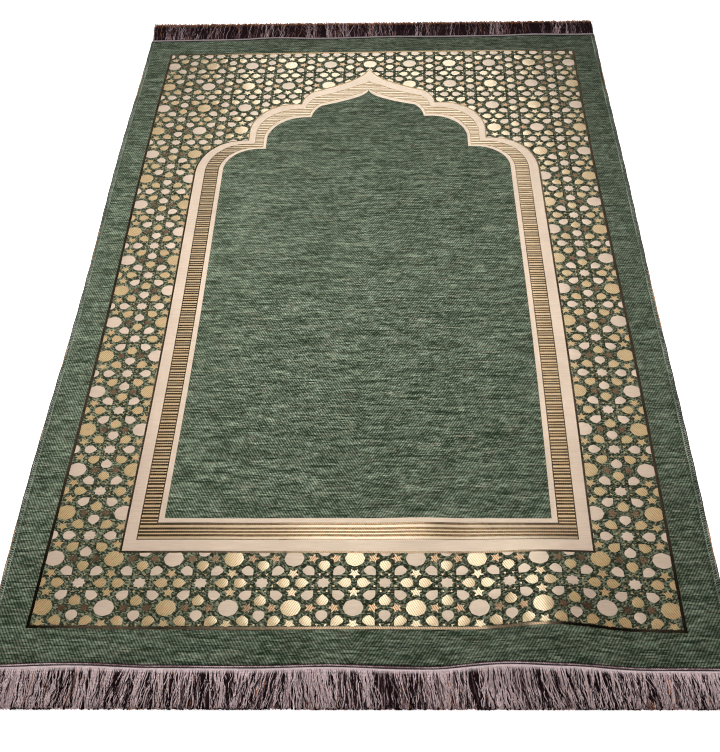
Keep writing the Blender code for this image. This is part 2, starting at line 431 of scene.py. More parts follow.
def slant_at(table, x):
    """The slant of a strand at x, read between the pairs of its table."""
    return np.interp(x, *zip(*table))


def lattice_point(i, j, in_border):
    """A point of the pattern's lattice, in metres."""
    x, y = MIRROR_X + (i - MIRROR_I) * REPEAT, TOP_J_Y - j * REPEAT
    return (x + sway(x, y), y - drop(x, y) if in_border else y)


def hem_ends(outward, inset=0.0):
    """X of a short hem's left and right ends, moved inwards by the inset."""
    y = outward * HALF_LENGTH
    return float(side_x(-1, y)) + inset, float(side_x(1, y)) - inset


def mesh_from(bm, name):
    """A named mesh from the builder's faces."""
    mesh = bpy.data.meshes.new(name)
    bm.to_mesh(mesh)
    bm.free()
    return mesh


def add_object(name, data):
    """A new object in the scene."""
    made = bpy.data.objects.new(name, data)
    bpy.context.scene.collection.objects.link(made)
    return made


def add_piece(name, mesh, materials):
    """A named piece of the rug that rides on its one body."""
    piece = add_object(name, mesh)
    for material in materials:
        mesh.materials.append(material)
    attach(piece, "root")
    return piece


# ==== The woven pattern in plan
def turned(points, quarter):
    """Points about a star's centre, turned by quarters of a turn."""
    for _ in range(quarter):
        points = [(-b, a) for a, b in points]
    return points


def around(count, first=0.0, last=WHOLE_TURN):
    """Angles evenly apart; the last is left out where they go all the way round."""
    whole = abs(last - first - WHOLE_TURN) < 1e-9
    steps = count if whole else count - 1
    return [first + (last - first) * step / steps for step in range(count)]


def star_points(radius, waist, tips, turn=0.0):
    """A star with its tips at the radius and its inner corners at waist times the radius."""
    points = []
    for corner in range(2 * tips):
        out = radius if corner % 2 == 0 else radius * waist
        angle = turn + math.pi * corner / tips
        points.append((out * math.cos(angle), out * math.sin(angle)))
    return points


def rosette_points():
    """A disc with eight faint points."""
    points = []
    for angle in around(32):
        radius = ROSETTE_RADIUS + ROSETTE_POINT * math.cos(8 * angle)
        points.append((radius * math.cos(angle), radius * math.sin(angle)))
    return points


def axis_shield_points():
    """A shield on the star's +a axis: its point towards the star and its far end blunt."""
    points = [(SHIELD_NEAR, 0.0)]
    for angle in around(13, math.radians(-128), math.radians(128)):
        along = SHIELD_MIDDLE + SHIELD_HALF_LENGTH * math.cos(angle)
        points.append((min(along, SHIELD_FAR), SHIELD_HALF_WIDTH * math.sin(angle)))
    return points


def corner_shield_points():
    """A shield between two axes: a square corner towards the star and the rest round."""
    points = [(CORNER_SHIELD_NEAR, CORNER_SHIELD_NEAR)]
    for angle in around(13, math.radians(-90), math.radians(180)):
        radius = CORNER_SHIELD_RADIUS + CORNER_SHIELD_POINT * math.cos(4 * angle)
        along = CORNER_SHIELD_MIDDLE + radius * math.cos(angle)
        aside = CORNER_SHIELD_MIDDLE + radius * math.sin(angle)
        points.append((max(along, CORNER_SHIELD_NEAR), max(aside, CORNER_SHIELD_NEAR)))
    return points


def octagram_waist():
    """Inner corners of a star made of two squares, as a share of its radius."""
    return math.cos(math.radians(45)) / math.cos(math.radians(22.5))


def star_square(column, row):
    """The figures of one square of the lattice: its star and the eight shields round it."""
    centre = (column + 0.5, row + 0.5)
    axis_yarn, corner_yarn = ("gold", "beige") if row % 2 == 0 else ("beige", "gold")
    figures = [("beige", centre, star_points(STAR_RADIUS, octagram_waist(), 8))]
    speck = star_points(SPECK_RADIUS, 0.5, 3, math.pi)
    for quarter in range(4):
        figures.append((axis_yarn, centre, turned(axis_shield_points(), quarter)))
        figures.append((corner_yarn, centre, turned(corner_shield_points(), quarter)))
        for aside in (-SPECK_ASIDE, SPECK_ASIDE):
            moved = [(a + SPECK_ALONG, b + aside) for a, b in speck]
            figures.append(("gold", centre, turned(moved, quarter)))
    return figures


def rosette_corner(column, row):
    """The figures at one corner of the lattice: a rosette and the four small stars round it."""
    centre = (column, row)
    rosette_yarn = "gold" if (column + row) % 2 else "beige"
    figures = [(rosette_yarn, centre, rosette_points())]
    for quarter in range(4):
        star = star_points(SMALL_STAR_RADIUS, SMALL_STAR_WAIST, 5)
        moved = [(a + SMALL_STAR_OUT, b) for a, b in star]
        yarn = "copper" if quarter % 2 == 0 else "gold"
        figures.append((yarn, centre, turned(moved, quarter)))
    return figures


def lobe_width(lobe, v):
    """h of a lobe's outline at v."""
    rise = min(max(lobe.v - v, 0.0) / lobe.half_height, 1.0)
    return lobe.h + lobe.half_width * math.sqrt(1.0 - rise * rise)


def tip_width(tip, v):
    """h of the pointed tip's outline at v."""
    return tip.spread * max(v - tip.v, 0.0) ** 2


def tip_end(tip, lobe):
    """v where the pointed tip's outline runs into the first lobe."""
    v = lobe.v - lobe.half_height + 0.02
    while tip_width(tip, v) < lobe_width(lobe, v):
        v += 0.002
    return v


def arch_side(tip, lobes):
    """One side of an arch's outline, from its tip down to where its leg starts."""
    meeting = tip_end(tip, lobes[0])
    widest = tip_width(tip, meeting)
    points = []
    for step in range(TIP_POINTS):
        h = widest * (step / TIP_POINTS) ** TIP_CROWDING
        points.append((h, tip.v + math.sqrt(h / tip.spread)))
    starts = [meeting] + [lobe.start for lobe in lobes[1:]]
    ends = [lobe.start for lobe in lobes[1:]] + [lobes[-1].v]
    for lobe, start, end in zip(lobes, starts, ends):
        first = math.asin(min(max((lobe.v - start) / lobe.half_height, 0.0), 1.0))
        last = math.asin(max((lobe.v - end) / lobe.half_height, 0.0))
        for angle in around(LOBE_POINTS, first, last):
            h = lobe.h + lobe.half_width * math.cos(angle)
            points.append((h, lobe.v - lobe.half_height * math.sin(angle)))
        points.append((lobe_width(lobe, end), end))
    return points


def band_outline(band):
    """A closed outline between the arch's outer outline and its field's."""
    outer = arch_side(OUTER_TIP, OUTER_LOBES)
    field = arch_side(FIELD_TIP, FIELD_LOBES)
    right = []
    for number, (from_point, to_point) in enumerate(zip(outer, field)):
        near_tip = max(1.0 - number / (TIP_POINTS * TIP_BLEND), 0.0)
        share = band.share + (band.tip_share - band.share) * near_tip
        right.append(between(from_point, to_point, share))
    right.append((right[-1][0], band.bottom))
    return right + [(-h, v) for h, v in reversed(right[1:])]


def frame_rectangle(offset):
    """The border's frame line, moved outwards by the offset."""
    left, right = FRAME_LINE.left - offset, FRAME_LINE.right + offset
    top, bottom = FRAME_LINE.top - offset, FRAME_LINE.bottom + offset
    return [(left, top), (right, top), (right, bottom), (left, bottom)]


def counter_clockwise(points):
    """The points in the order that makes the outline's area positive."""
    area = sum(a[0] * b[1] - b[0] * a[1] for a, b in zip(points, points[1:] + points[:1]))
    return points if area > 0 else points[::-1]


def between(start, end, share):
    """The point at this share of the way between two."""
    return tuple(a + (b - a) * share for a, b in zip(start, end))


def with_short_edges(points, longest):
    """The outline with points added so that no edge is longer than this."""
    made = []
    for start, end in zip(points, points[1:] + points[:1]):
        steps = max(1, math.ceil(math.dist(start, end) / longest - 1e-6))
        for step in range(steps):
            made.append(between(start, end, step / steps))
    return made


def cloth_outline(inset):
    """The cloth's edge in plan, moved inwards by the inset."""
    end = HALF_LENGTH - inset
    rows = np.linspace(-end, end, math.ceil(2 * end / LONG_EDGE_STEP) + 1)
    right = [(side_x(1, y) - inset, y) for y in rows]
    left = [(side_x(-1, y) + inset, y) for y in rows[::-1]]
    points = with_short_edges(right + left, LONG_EDGE_STEP * 1.2)
    return [(float(x), float(y)) for x, y in points]


Region = namedtuple("Region", "yarn outline")


def pattern_regions():
    """The pattern's regions in metres, each lying over those before it. Figures count only
    inside the frame line."""
    longest = LONG_EDGE_STEP / REPEAT
    arch = []
    for band in ARCH_BANDS:
        points = with_short_edges(band_outline(band), longest)
        arch.append([lattice_point(MIRROR_I + h, v, False) for h, v in points])
    frame_out, frame_in = (
        [lattice_point(i, j, True) for i, j in with_short_edges(frame_rectangle(offset), longest)]
        for offset in (FRAME_LINE_HALF, -FRAME_LINE_HALF)
    )
    regions = [Region("dark_lurex", frame_out), Region("straps", frame_in)]
    figures = []
    columns = range(math.floor(FRAME_LINE.left), math.ceil(FRAME_LINE.right) + 1)
    rows = range(math.floor(FRAME_LINE.top), math.ceil(FRAME_LINE.bottom) + 1)
    for column in columns:
        for row in rows:
            figures += star_square(column, row)
            figures += rosette_corner(column, row)
    for yarn, centre, points in figures:
        lattice = [(centre[0] + a, centre[1] + b) for a, b in points]
        if is_seen(lattice):
            outline = [lattice_point(i, j, True) for i, j in lattice]
            regions.append(Region(yarn, outline))
    for band, outline in zip(ARCH_BANDS, arch):
        regions.append(Region(band.yarn, outline))
    return regions


def arch_half_width(v):
    """h of the arch's outer outline at v, or a negative number where there is no arch."""
    if v < OUTER_TIP.v or v > OUTER_BOTTOM:
        return -1.0
    width = min(tip_width(OUTER_TIP, v), lobe_width(OUTER_LOBES[0], v))
    for lobe in OUTER_LOBES[1:]:
        if v > lobe.start:
            width = lobe_width(lobe, v)
    return width


def is_seen(points):
    """Whether any part of a figure lies inside the frame line and outside the arch."""
    inside_frame = [
        (i, j)
        for i, j in points
        if FRAME_LINE.left < i < FRAME_LINE.right and FRAME_LINE.top < j < FRAME_LINE.bottom
    ]
    return any(abs(i - MIRROR_I) > arch_half_width(j) - ARCH_MARGIN for i, j in inside_frame)


# ==== The cloth's mesh
def grid_points(step, margin):
    """Points all over the cloth in staggered rows, a margin in from its edges."""
    half_rows = int((HALF_LENGTH - margin) / step)
    half_columns = int((HALF_WIDTH - margin) / step)
    return [
        ((column + 0.5 * (row % 2)) * step, row * step)
        for row in range(-half_rows, half_rows + 1)
        for column in range(-half_columns, half_columns)
    ]


def point_finder(points):
    """A search tree over points in plan."""
    finder = kdtree.KDTree(len(points))
    for number, point in enumerate(points):
        finder.insert((*point, 0.0), number)
    finder.balance()
    return finder


def triangulate(outlines, loose_points):
    """Triangles within the first outline, with the numbers of the outlines round each."""
    points, faces = [], []
    for outline in outlines:
        outline = counter_clockwise(outline)
        faces.append(list(range(len(points), len(points) + len(outline))))
        points += outline
    taken = point_finder(points)
    points += [p for p in loose_points if taken.find((*p, 0.0))[2] > GRID_CLEARANCE]
    made = delaunay_2d_cdt([Vector(p) for p in points], [], faces, 1, 1e-6)
    plan, _, triangles, _, _, inside = made
    return plan, triangles, inside


def yarn_of(numbers, regions):
    """The yarn that shows in a triangle, from the numbers of the regions that it lies in."""
    frame_out, frame_in = 1, 2      # the first two regions: 0 is the cloth's own edge
    if frame_in not in numbers:
        return "dark_lurex" if frame_out in numbers else "chenille"
    return regions[max(numbers) - 1].yarn


def boundary_loop(bm):
    """The verts round an open mesh, in order."""
    start = next(edge for edge in bm.edges if edge.is_boundary)
    loop = [start.verts[0], start.verts[1]]
    while True:
        here, before = loop[-1], loop[-2]
        ahead = next(
            edge.other_vert(here)
            for edge in here.link_edges
            if edge.is_boundary and edge.other_vert(here) is not before
        )
        if ahead is loop[0]:
            return loop
        loop.append(ahead)


def top_sheet():
    """The cloth's upper face: triangles along the pattern's outlines, raised where it is flat."""
    regions = pattern_regions()
    edge = cloth_outline(HEM_ROUNDING)
    outlines = [edge] + [with_short_edges(r.outline, LONG_EDGE_STEP) for r in regions]
    plan, triangles, inside = triangulate(outlines, grid_points(GRID_STEP, 2 * GRID_STEP))

    bm = bmesh.new()
    verts = [bm.verts.new((p.x, p.y, 0.0)) for p in plan]
    for corners, numbers in zip(triangles, inside):
        face = bm.faces.new([verts[corner] for corner in corners])
        face.material_index = YARNS.index(yarn_of(numbers, regions))
    loose = [vert for vert in bm.verts if not vert.link_faces]
    bmesh.ops.delete(bm, geom=loose, context="VERTS")
    bmesh.ops.recalc_face_normals(bm, faces=bm.faces[:])
    if bm.faces[0].normal.z < 0:
        bmesh.ops.reverse_faces(bm, faces=bm.faces[:])
    rim = boundary_loop(bm)

    flat = {YARNS.index(name) for name in FLAT_YARNS}
    slopes = bmesh.ops.inset_region(
        bm,
        faces=[face for face in bm.faces if face.material_index in flat],
        thickness=FLAT_SLOPE,
        depth=FLAT_RISE,
        use_even_offset=True,
        use_interpolate=True,
    )
    for face in slopes["faces"]:
        face.material_index = YARNS.index("straps")
    for vert in bm.verts:
        vert.co.z += float(top_height(vert.co.x, vert.co.y))
    return bm, rim


def underside_height(x, y):
    """Height of the cloth's lower face."""
    return float(lift(x, y)) + CLEARANCE


def close_sheet(bm, rim):
    """Adds the rounded hem and the underside below the rim of the upper face."""
    rows = [rim]
    for spread, share in ((HEM_ROUNDING, 0.5), (0.0, 0.0)):
        row = []
        for vert in rim:
            x, y = vert.co.x, vert.co.y
            at_side = abs(abs(x) - abs(side_x(math.copysign(1, x), y))) < 2 * HEM_ROUNDING
            at_end = abs(y) > HALF_LENGTH - 2 * HEM_ROUNDING
            new_x = x + math.copysign(spread, x) * at_side
            new_y = y + math.copysign(spread, y) * at_end
            low = underside_height(x, y)
            row.append(bm.verts.new((new_x, new_y, low + (vert.co.z - low) * share)))
        rows.append(row)
    for upper, lower in zip(rows, rows[1:]):
        for number in range(len(rim)):
            ahead = (number + 1) % len(rim)
            face = bm.faces.new((upper[number], lower[number], lower[ahead], upper[ahead]))
            face.material_index = YARNS.index("chenille")
    bottom = rows[-1]
    outline = [(vert.co.x, vert.co.y) for vert in bottom]
    plan, triangles, _ = triangulate([outline], grid_points(UNDERSIDE_STEP, UNDERSIDE_STEP))
    rim_finder = point_finder(outline)
    verts = []
    for x, y in plan:
        _, number, distance = rim_finder.find((x, y, 0.0))
        if distance < 1e-5:
            verts.append(bottom[number])
        else:
            verts.append(bm.verts.new((x, y, underside_height(x, y))))
    for corners in triangles:
        face = bm.faces.new([verts[corner] for corner in reversed(corners)])
        face.material_index = YARNS.index("underside")


def cloth_mesh():
    """The whole cloth as one closed sheet."""
    bm, rim = top_sheet()
    close_sheet(bm, rim)
    bmesh.ops.recalc_face_normals(bm, faces=bm.faces[:])
    bmesh.ops.triangulate(bm, faces=[face for face in bm.faces if len(face.verts) > 3])
    mesh = mesh_from(bm, "cloth_visual")
    mesh.shade_smooth()
    mesh.set_sharp_from_angle(angle=CLOTH_SHARP_FROM)
    add_sheet_map(mesh)
    return mesh


def read_all(items, name, count, kind=float):
    """One property of all of a mesh's items, as an array."""
    values = np.zeros(count, kind)
    items.foreach_get(name, values)
    return values


def add_sheet_map(mesh):
    """A flat map of the cloth: its upper face, and its underside to the right of it."""
    layer = mesh.uv_layers.new(name="OFBake")
    size = 2 * CLOTH_WIDTH + 5 * MAP_MARGIN
    material = read_all(mesh.polygons, "material_index", len(mesh.polygons), np.int32)
    totals = read_all(mesh.polygons, "loop_total", len(mesh.polygons), np.int32)
    corners = read_all(mesh.loops, "vertex_index", len(mesh.loops), np.int32)
    places = read_all(mesh.vertices, "co", 3 * len(mesh.vertices)).reshape(-1, 3)[corners]
    below = np.repeat(material == YARNS.index("underside"), totals)
    u = places[:, 0] + HALF_WIDTH + MAP_MARGIN
    u = np.where(below, 2 * CLOTH_WIDTH + 4 * MAP_MARGIN - u, u)
    v = places[:, 1] + HALF_LENGTH + MAP_MARGIN
    layer.uv.foreach_set("vector", np.stack([u, v], 1).ravel() / size)


# ==== Materials: numbers that vary over a surface, and what is worked out from them
def feed(place, value):
    """Gives a node's input a value: a field, another node's output, a colour or a number."""
    if isinstance(value, Field):
        value = value.socket
    if isinstance(value, bpy.types.NodeSocket):
        place.id_data.links.new(value, place)
    elif isinstance(value, tuple):
        place.default_value = (*value, 1.0)
    else:
        place.default_value = value


def add_node(tree, kind, inputs, **settings):
    """The outputs of a new shader node. Its inputs are fed by their names or numbers."""
    node = tree.nodes.new(f"ShaderNode{kind}")
    for name, value in settings.items():
        setattr(node, name, value)
    for name, value in inputs.items():
        feed(node.inputs[name], value)
    return node.outputs


def math_method(operation, swapped=False):
    """A method of Field that adds a Math node for the field and what it is given."""

    def method(self, *others):
        values = (*others, self) if swapped else (self, *others)
        outputs = add_node(self.tree, "Math", dict(enumerate(values)), operation=operation)
        return Field(self.tree, outputs["Value"])

    return method


class Field:
    """A number at each point of a surface. Arithmetic on it adds Math nodes to its material."""

    def __init__(self, tree, socket):
        self.tree = tree
        self.socket = socket

    __add__ = math_method("ADD")
    __sub__ = math_method("SUBTRACT")
    __rsub__ = math_method("SUBTRACT", swapped=True)
    __mul__ = math_method("MULTIPLY")
    __truediv__ = math_method("DIVIDE")
    __pow__ = math_method("POWER")
    __abs__ = math_method("ABSOLUTE")
    most = math_method("MAXIMUM")
    least = math_method("MINIMUM")
    over = math_method("GREATER_THAN")       # 1 where this is greater, and 0 elsewhere
    floor = math_method("FLOOR")
    cosine = math_method("COSINE")
    fraction = math_method("FRACT")
    ping_pong = math_method("PINGPONG")

    def ridge(self):
        """0 at whole numbers and 1 half-way between them."""
        return self.ping_pong(0.5) * 2.0

    def smooth(self, low, high):
        """0 below low and 1 above high, with a soft step between."""
        inputs = {"Value": self, "From Min": low, "From Max": high}
        outputs = add_node(self.tree, "MapRange", inputs, interpolation_type="SMOOTHSTEP")
        return Field(self.tree, outputs["Result"])


class Yarn:
    """The material of one yarn, and the tools that its nodes are made with."""

    def __init__(self, name):
        self.material = bpy.data.materials.new(name)
        self.material.use_nodes = True
        self.tree = self.material.node_tree
        self.shader = self.tree.nodes["Principled BSDF"]

    def outputs(self, kind, inputs, **settings):
        """What a new node in this material gives."""
        return add_node(self.tree, kind, inputs, **settings)

    def parts(self, socket):
        """The three numbers of a vector."""
        return [Field(self.tree, part) for part in self.outputs("SeparateXYZ", {0: socket})]

    def place(self):
        """Where a point of the piece lies: x, y and z in metres."""
        return self.parts(self.outputs("TexCoord", {})["Object"])

    def map(self, name):
        """The two coordinates of a named map."""
        return self.parts(self.outputs("UVMap", {}, uv_map=name)["UV"])[:2]

    def attribute(self, name):
        """A number that the mesh holds at each of its points."""
        outputs = self.outputs("Attribute", {}, attribute_name=name)
        return Field(self.tree, outputs["Fac"])

    def point(self, x, y):
        """A vector of two numbers."""
        return self.outputs("CombineXYZ", {0: x, 1: y})[0]

    def noise(self, x, y):
        """Smooth noise, from 0 to 1, that changes over about 1 of x or y."""
        inputs = {"Vector": self.point(x, y), "Scale": 1.0, "Detail": 1.0}
        outputs = self.outputs("TexNoise", inputs, noise_dimensions="2D")
        return Field(self.tree, outputs[0])

    def chance(self, x, y):
        """A random number from 0 to 1 for each pair of whole numbers."""
        inputs = {"Vector": self.point(x, y)}
        outputs = self.outputs("TexWhiteNoise", inputs, noise_dimensions="2D")
        return Field(self.tree, outputs["Value"])

    def colour(self, amount, low, high):
        """A colour between two colours, each one given or made by nodes."""
        inputs = {"Factor": amount, 6: low, 7: high}
        return self.outputs("Mix", inputs, data_type="RGBA")[2]

    def shaded(self, colour, amount):
        """A colour darkened to this share of itself."""
        grey = self.outputs("CombineColor", {0: amount, 1: amount, 2: amount})[0]
        inputs = {"Factor": 1.0, 6: colour, 7: grey}
        return self.outputs("Mix", inputs, data_type="RGBA", blend_type="MULTIPLY")[2]

    def finish(self, colour, height, depth, **settings):
        """Feeds colour and relief to the shader, and its other sockets by their names."""
        bump = self.outputs("Bump", {"Height": height, "Distance": depth})
        feed(self.shader.inputs["Base Color"], colour)
        feed(self.shader.inputs["Normal"], bump["Normal"])
        for name, value in settings.items():
            feed(self.shader.inputs[name.replace("_", " ").title().replace("Ior", "IOR")], value)
        return self.material


def from_mirror(x, y):
    """How far right of the mirror line a point lies in the weave."""
    return x - sway(x, y) - MIRROR_X


def twill(x, y, kind):
    """Counts the ribs of a twill that is mirrored at the middle."""
    return (abs(from_mirror(x, y)) + y * kind.lean) / kind.pitch


def place_in_square(x, y):
    """Where a point lies in its square of the lattice: 0 at rosettes and 0.5 at stars."""
    i = from_mirror(x, y) / REPEAT
    j = (TOP_J_Y - y - drop(x, y)) / REPEAT
    return [abs((value + 0.5).fraction() - 0.5) for value in (i, j)]


def outside_frame(x, y):
    """1 outside the border's frame line and 0 inside it."""
    middle_y = TOP_J_Y - (FRAME_LINE.top + FRAME_LINE.bottom) / 2 * REPEAT
    half_width = (FRAME_LINE.right - FRAME_LINE.left) / 2 * REPEAT
    half_length = (FRAME_LINE.bottom - FRAME_LINE.top) / 2 * REPEAT
    past_x = abs(from_mirror(x, y)) - half_width
    past_y = abs(y + drop(x, y) - middle_y) - half_length
    return past_x.most(past_y).over(0.0)


def chenille_material():
    """Marled green chenille: soft ribs, with lighter and darker lengths of weft that run across.
    It is a little darker outside the frame line. Painted shade darkens it towards the right and
    the far end, in its ribs' grooves and under the overlock at its sides."""
    yarn = Yarn("green_chenille")
    x, y, _ = yarn.place()
    phase = twill(x, y, CHENILLE_TWILL)
    row = (y / THIN_PICK).floor()
    groove = phase.ridge().smooth(0.10, 0.80)
    long_streak = yarn.noise(x * 24.0, (y / PICK).floor() * 7.3).smooth(0.30, 0.70)
    streak = yarn.noise(x * 80.0, row * 5.9 + 40.0).smooth(0.35, 0.65)
    stitch = yarn.chance(phase.floor(), row)
    slub = yarn.noise(x * 9.0, row * 8.3 + 9.0).smooth(0.62, 0.72)
    # painted shade: the colour is darker in the grooves between the ribs, besides their bump
    light = groove * 0.34 + long_streak * 0.22 + streak * 0.26 + stitch * 0.28 - 0.12
    light = (light - slub * 0.16).most(0.0)
    green = yarn.colour(light * light, GREEN_DARK, GREEN_LIGHT)
    tan = yarn.noise(x * 40.0, row * 3.1).smooth(0.58, 0.74) * light
    green = yarn.colour(tan * 0.40, green, TAN_FLECK)
    # painted shade under the overlock stitches along the long sides
    edge = abs(x).smooth(HALF_WIDTH - EDGE_SHADE_FROM, HALF_WIDTH - EDGE_SHADE_FULL)
    # painted shade: darker towards the right and towards the far end, where the light falls off
    painted_shade = 1.0 - x.smooth(-0.36, 0.36) * 0.19 - y.smooth(0.05, 0.50) * 0.10
    shade = (1.0 - edge * 0.25) * (1.0 - outside_frame(x, y) * 0.07) * painted_shade
    return yarn.finish(
        yarn.shaded(green, shade),
        groove + stitch * 0.2,
        depth=0.00025,
        roughness=0.95,
        specular_ior_level=0.10,
        sheen_weight=0.06,
        sheen_roughness=0.5,
        sheen_tint=(0.70, 0.80, 0.66),
    )


def strap_material():
    """The chenille between the border's figures: closer, darker and more speckled, with darker
    lines beside the stars, and painted shade that darkens it towards the right."""
    yarn = Yarn("green_straps")
    x, y, _ = yarn.place()
    phase = twill(x, y, CHENILLE_TWILL) * 2.0
    row = (y / THIN_PICK).floor()
    speck = yarn.chance(phase.floor(), row).smooth(0.25, 0.95)
    patch = yarn.noise(x * 60.0, row * 5.0)
    light = speck * 0.54 + patch * 0.34 + 0.01
    green = yarn.colour(light * light, STRAP_DARK, STRAP_LIGHT)
    from_lines = [abs(part - STRAP_LINE_PLACE).smooth(0.004, 0.016) for part in place_in_square(x, y)]
    lines = from_lines[0].least(from_lines[1]) * 0.38 + 0.62
    # painted shade: the straps are darker towards the right, where the light falls off
    painted_shade = 1.0 - x.smooth(-0.20, 0.36) * 0.16
    return yarn.finish(
        yarn.shaded(green, lines * painted_shade),
        speck + phase.ridge() * 0.4,
        depth=0.00030,
        roughness=0.95,
        specular_ior_level=0.10,
    )


def padding(x, y):
    """How high a figure's padding is at a point: 1 at its middle and 0 at its edge."""
    i, j = place_in_square(x, y)
    height = i * 0.0
    for pad in PADS:
        aside = (i - pad.i) ** 2.0 + (j - pad.j) ** 2.0
        height = height.most(1.0 - aside / pad.reach**2)
    return height


def beige_material(name, padded):
    """Smooth beige yarn in fine even picks."""
    yarn = Yarn(name)
    x, y, _ = yarn.place()
    pick = y / FINE_PICK
    row = pick.floor()
    tone = yarn.noise(x * 60.0, row * 5.1) * 0.6 + yarn.noise(x * 14.0, y * 14.0) * 0.5
    beige = yarn.colour(tone.smooth(0.25, 0.85), BEIGE_DARK, BEIGE_LIGHT)
    depth = 0.00010
    height = pick.ridge() * 0.6 + (x / FINE_PICK).ridge() * 0.3 + tone
    if padded:
        height = height + padding(x, y) * (PAD_HEIGHT / depth)
    shade = pick.ridge() * 0.08 + 0.94
    return yarn.finish(
        yarn.shaded(beige, shade),
        height,
        depth=depth,
        roughness=0.28,
        ior=2.1,
        specular_tint=(1.0, 0.87, 0.60),
    )


def gold_colour(yarn, x, y, glint):
    """Gold that wanders between orange and olive, dark in the twill's grooves."""
    hue = yarn.noise(x * 130.0, y * 160.0).smooth(0.30, 0.70)
    gold = yarn.colour(hue, GOLD_ORANGE, GOLD_OLIVE)
    return yarn.colour(glint, GOLD_DARK, gold)


def lurex_relief(yarn):
    """The metallic twill: its flat tapes, each stitch's chance, and the relief of both."""
    x, y, _ = yarn.place()
    phase = twill(x, y, LUREX_TWILL)
    stitch = yarn.chance(phase.floor(), (y / PICK).floor())
    tape = phase.ridge().smooth(0.06, 0.38)
    return tape, stitch, tape + stitch * 0.04, x, y


def gold_material():
    """Flat gold yarn in a mirrored twill, bound down by a darker thread."""
    yarn = Yarn("gold_lurex")
    tape, stitch, height, x, y = lurex_relief(yarn)
    depth = 0.00006
    return yarn.finish(
        gold_colour(yarn, x, y, tape * 0.85 + stitch * 0.20 - 0.05),
        height + padding(x, y) * (PAD_HEIGHT / depth),
        depth=depth,
        roughness=stitch * 0.05 + 0.17,
        metallic=0.10,
        ior=1.85,
        specular_tint=(1.0, 1.0, 0.86),
    )


def dark_metal_material(name, dark, light, metallic, roughness):
    """Flat copper yarn or its darker like: it shines only where it faces the far light."""
    yarn = Yarn(name)
    tape, stitch, height, _, _ = lurex_relief(yarn)
    return yarn.finish(
        yarn.colour(tape * 0.6 + stitch * 0.4, dark, light),
        height,
        depth=0.00004,
        roughness=stitch * 0.05 + roughness,
        metallic=metallic,
        ior=1.6,
        specular_tint=(1.0, 0.86, 0.62),
    )


def stripes_material():
    """Rows of gold weft between dark ones: a thick line and two thin ones in each repeat."""
    yarn = Yarn("gold_stripes")
    tape, stitch, relief, x, y = lurex_relief(yarn)
    j = (TOP_J_Y - y) / REPEAT
    from_bar = j - BAR_STRIPE_START
    in_bar = from_bar.over(0.0)
    period = in_bar * (BAR_STRIPE_PERIOD - LEG_STRIPE_PERIOD) + LEG_STRIPE_PERIOD
    turns = from_bar / period
    step = turns - turns.floor()
    thick, thin, other = (0.5 - abs(step - row.middle) * row.sharpness for row in STRIPES)
    gold = thick.most(thin.most(other)).smooth(-0.06, 0.12)
    # painted light: the gold is lighter in the right leg, as if it caught a glint, and darker at the
    # bar's right end, as if a ripple shaded it
    painted_light_at_right = x.smooth(0.06, 0.16)
    glint = tape * 0.32 + stitch * 0.10 + 0.16
    glint = glint + painted_light_at_right * (0.07 - in_bar * 0.25)
    lurex = gold_colour(yarn, x, y, glint)
    dark = yarn.colour(stitch * 0.6 + 0.2, BROWN_LUREX_DARK, BROWN_LUREX_LIGHT)
    return yarn.finish(
        yarn.colour(gold, dark, lurex),
        gold * 0.8 + relief * 0.6,
        depth=0.00007,
        roughness=stitch * 0.05 + 0.17,
        metallic=1.0 - gold * 0.90,
        ior=1.95,
        specular_tint=(1.0, 0.99, 0.90),
    )


def underside_material():
    """The plain back of the weave, where the floats cross as a fine check."""
    yarn = Yarn("underside_floats")
    x, y, _ = yarn.place()
    pick = y / PICK
    end = x / FINE_PICK
    fleck = yarn.noise(x * 120.0, pick.floor() * 3.7)
    colour = yarn.colour(fleck.smooth(0.35, 0.65), UNDERSIDE_DARK, UNDERSIDE_LIGHT)
    height = pick.ridge() * 0.6 + end.ridge() * 0.4
    return yarn.finish(colour, height, depth=0.0003, roughness=0.9)


def cloth_materials():
    """The cloth's materials, in the order of YARNS."""
    return [
        chenille_material(),
        strap_material(),
        beige_material("beige_yarn", padded=True),
        beige_material("cream_yarn", padded=False),
        gold_material(),
        dark_metal_material("copper_lurex", COPPER_DARK, COPPER_LIGHT, 0.7, 0.17),
        dark_metal_material("dark_lurex", DARK_LUREX_DARK, DARK_LUREX_LIGHT, 1.0, 0.11),
        stripes_material(),
        underside_material(),
    ]


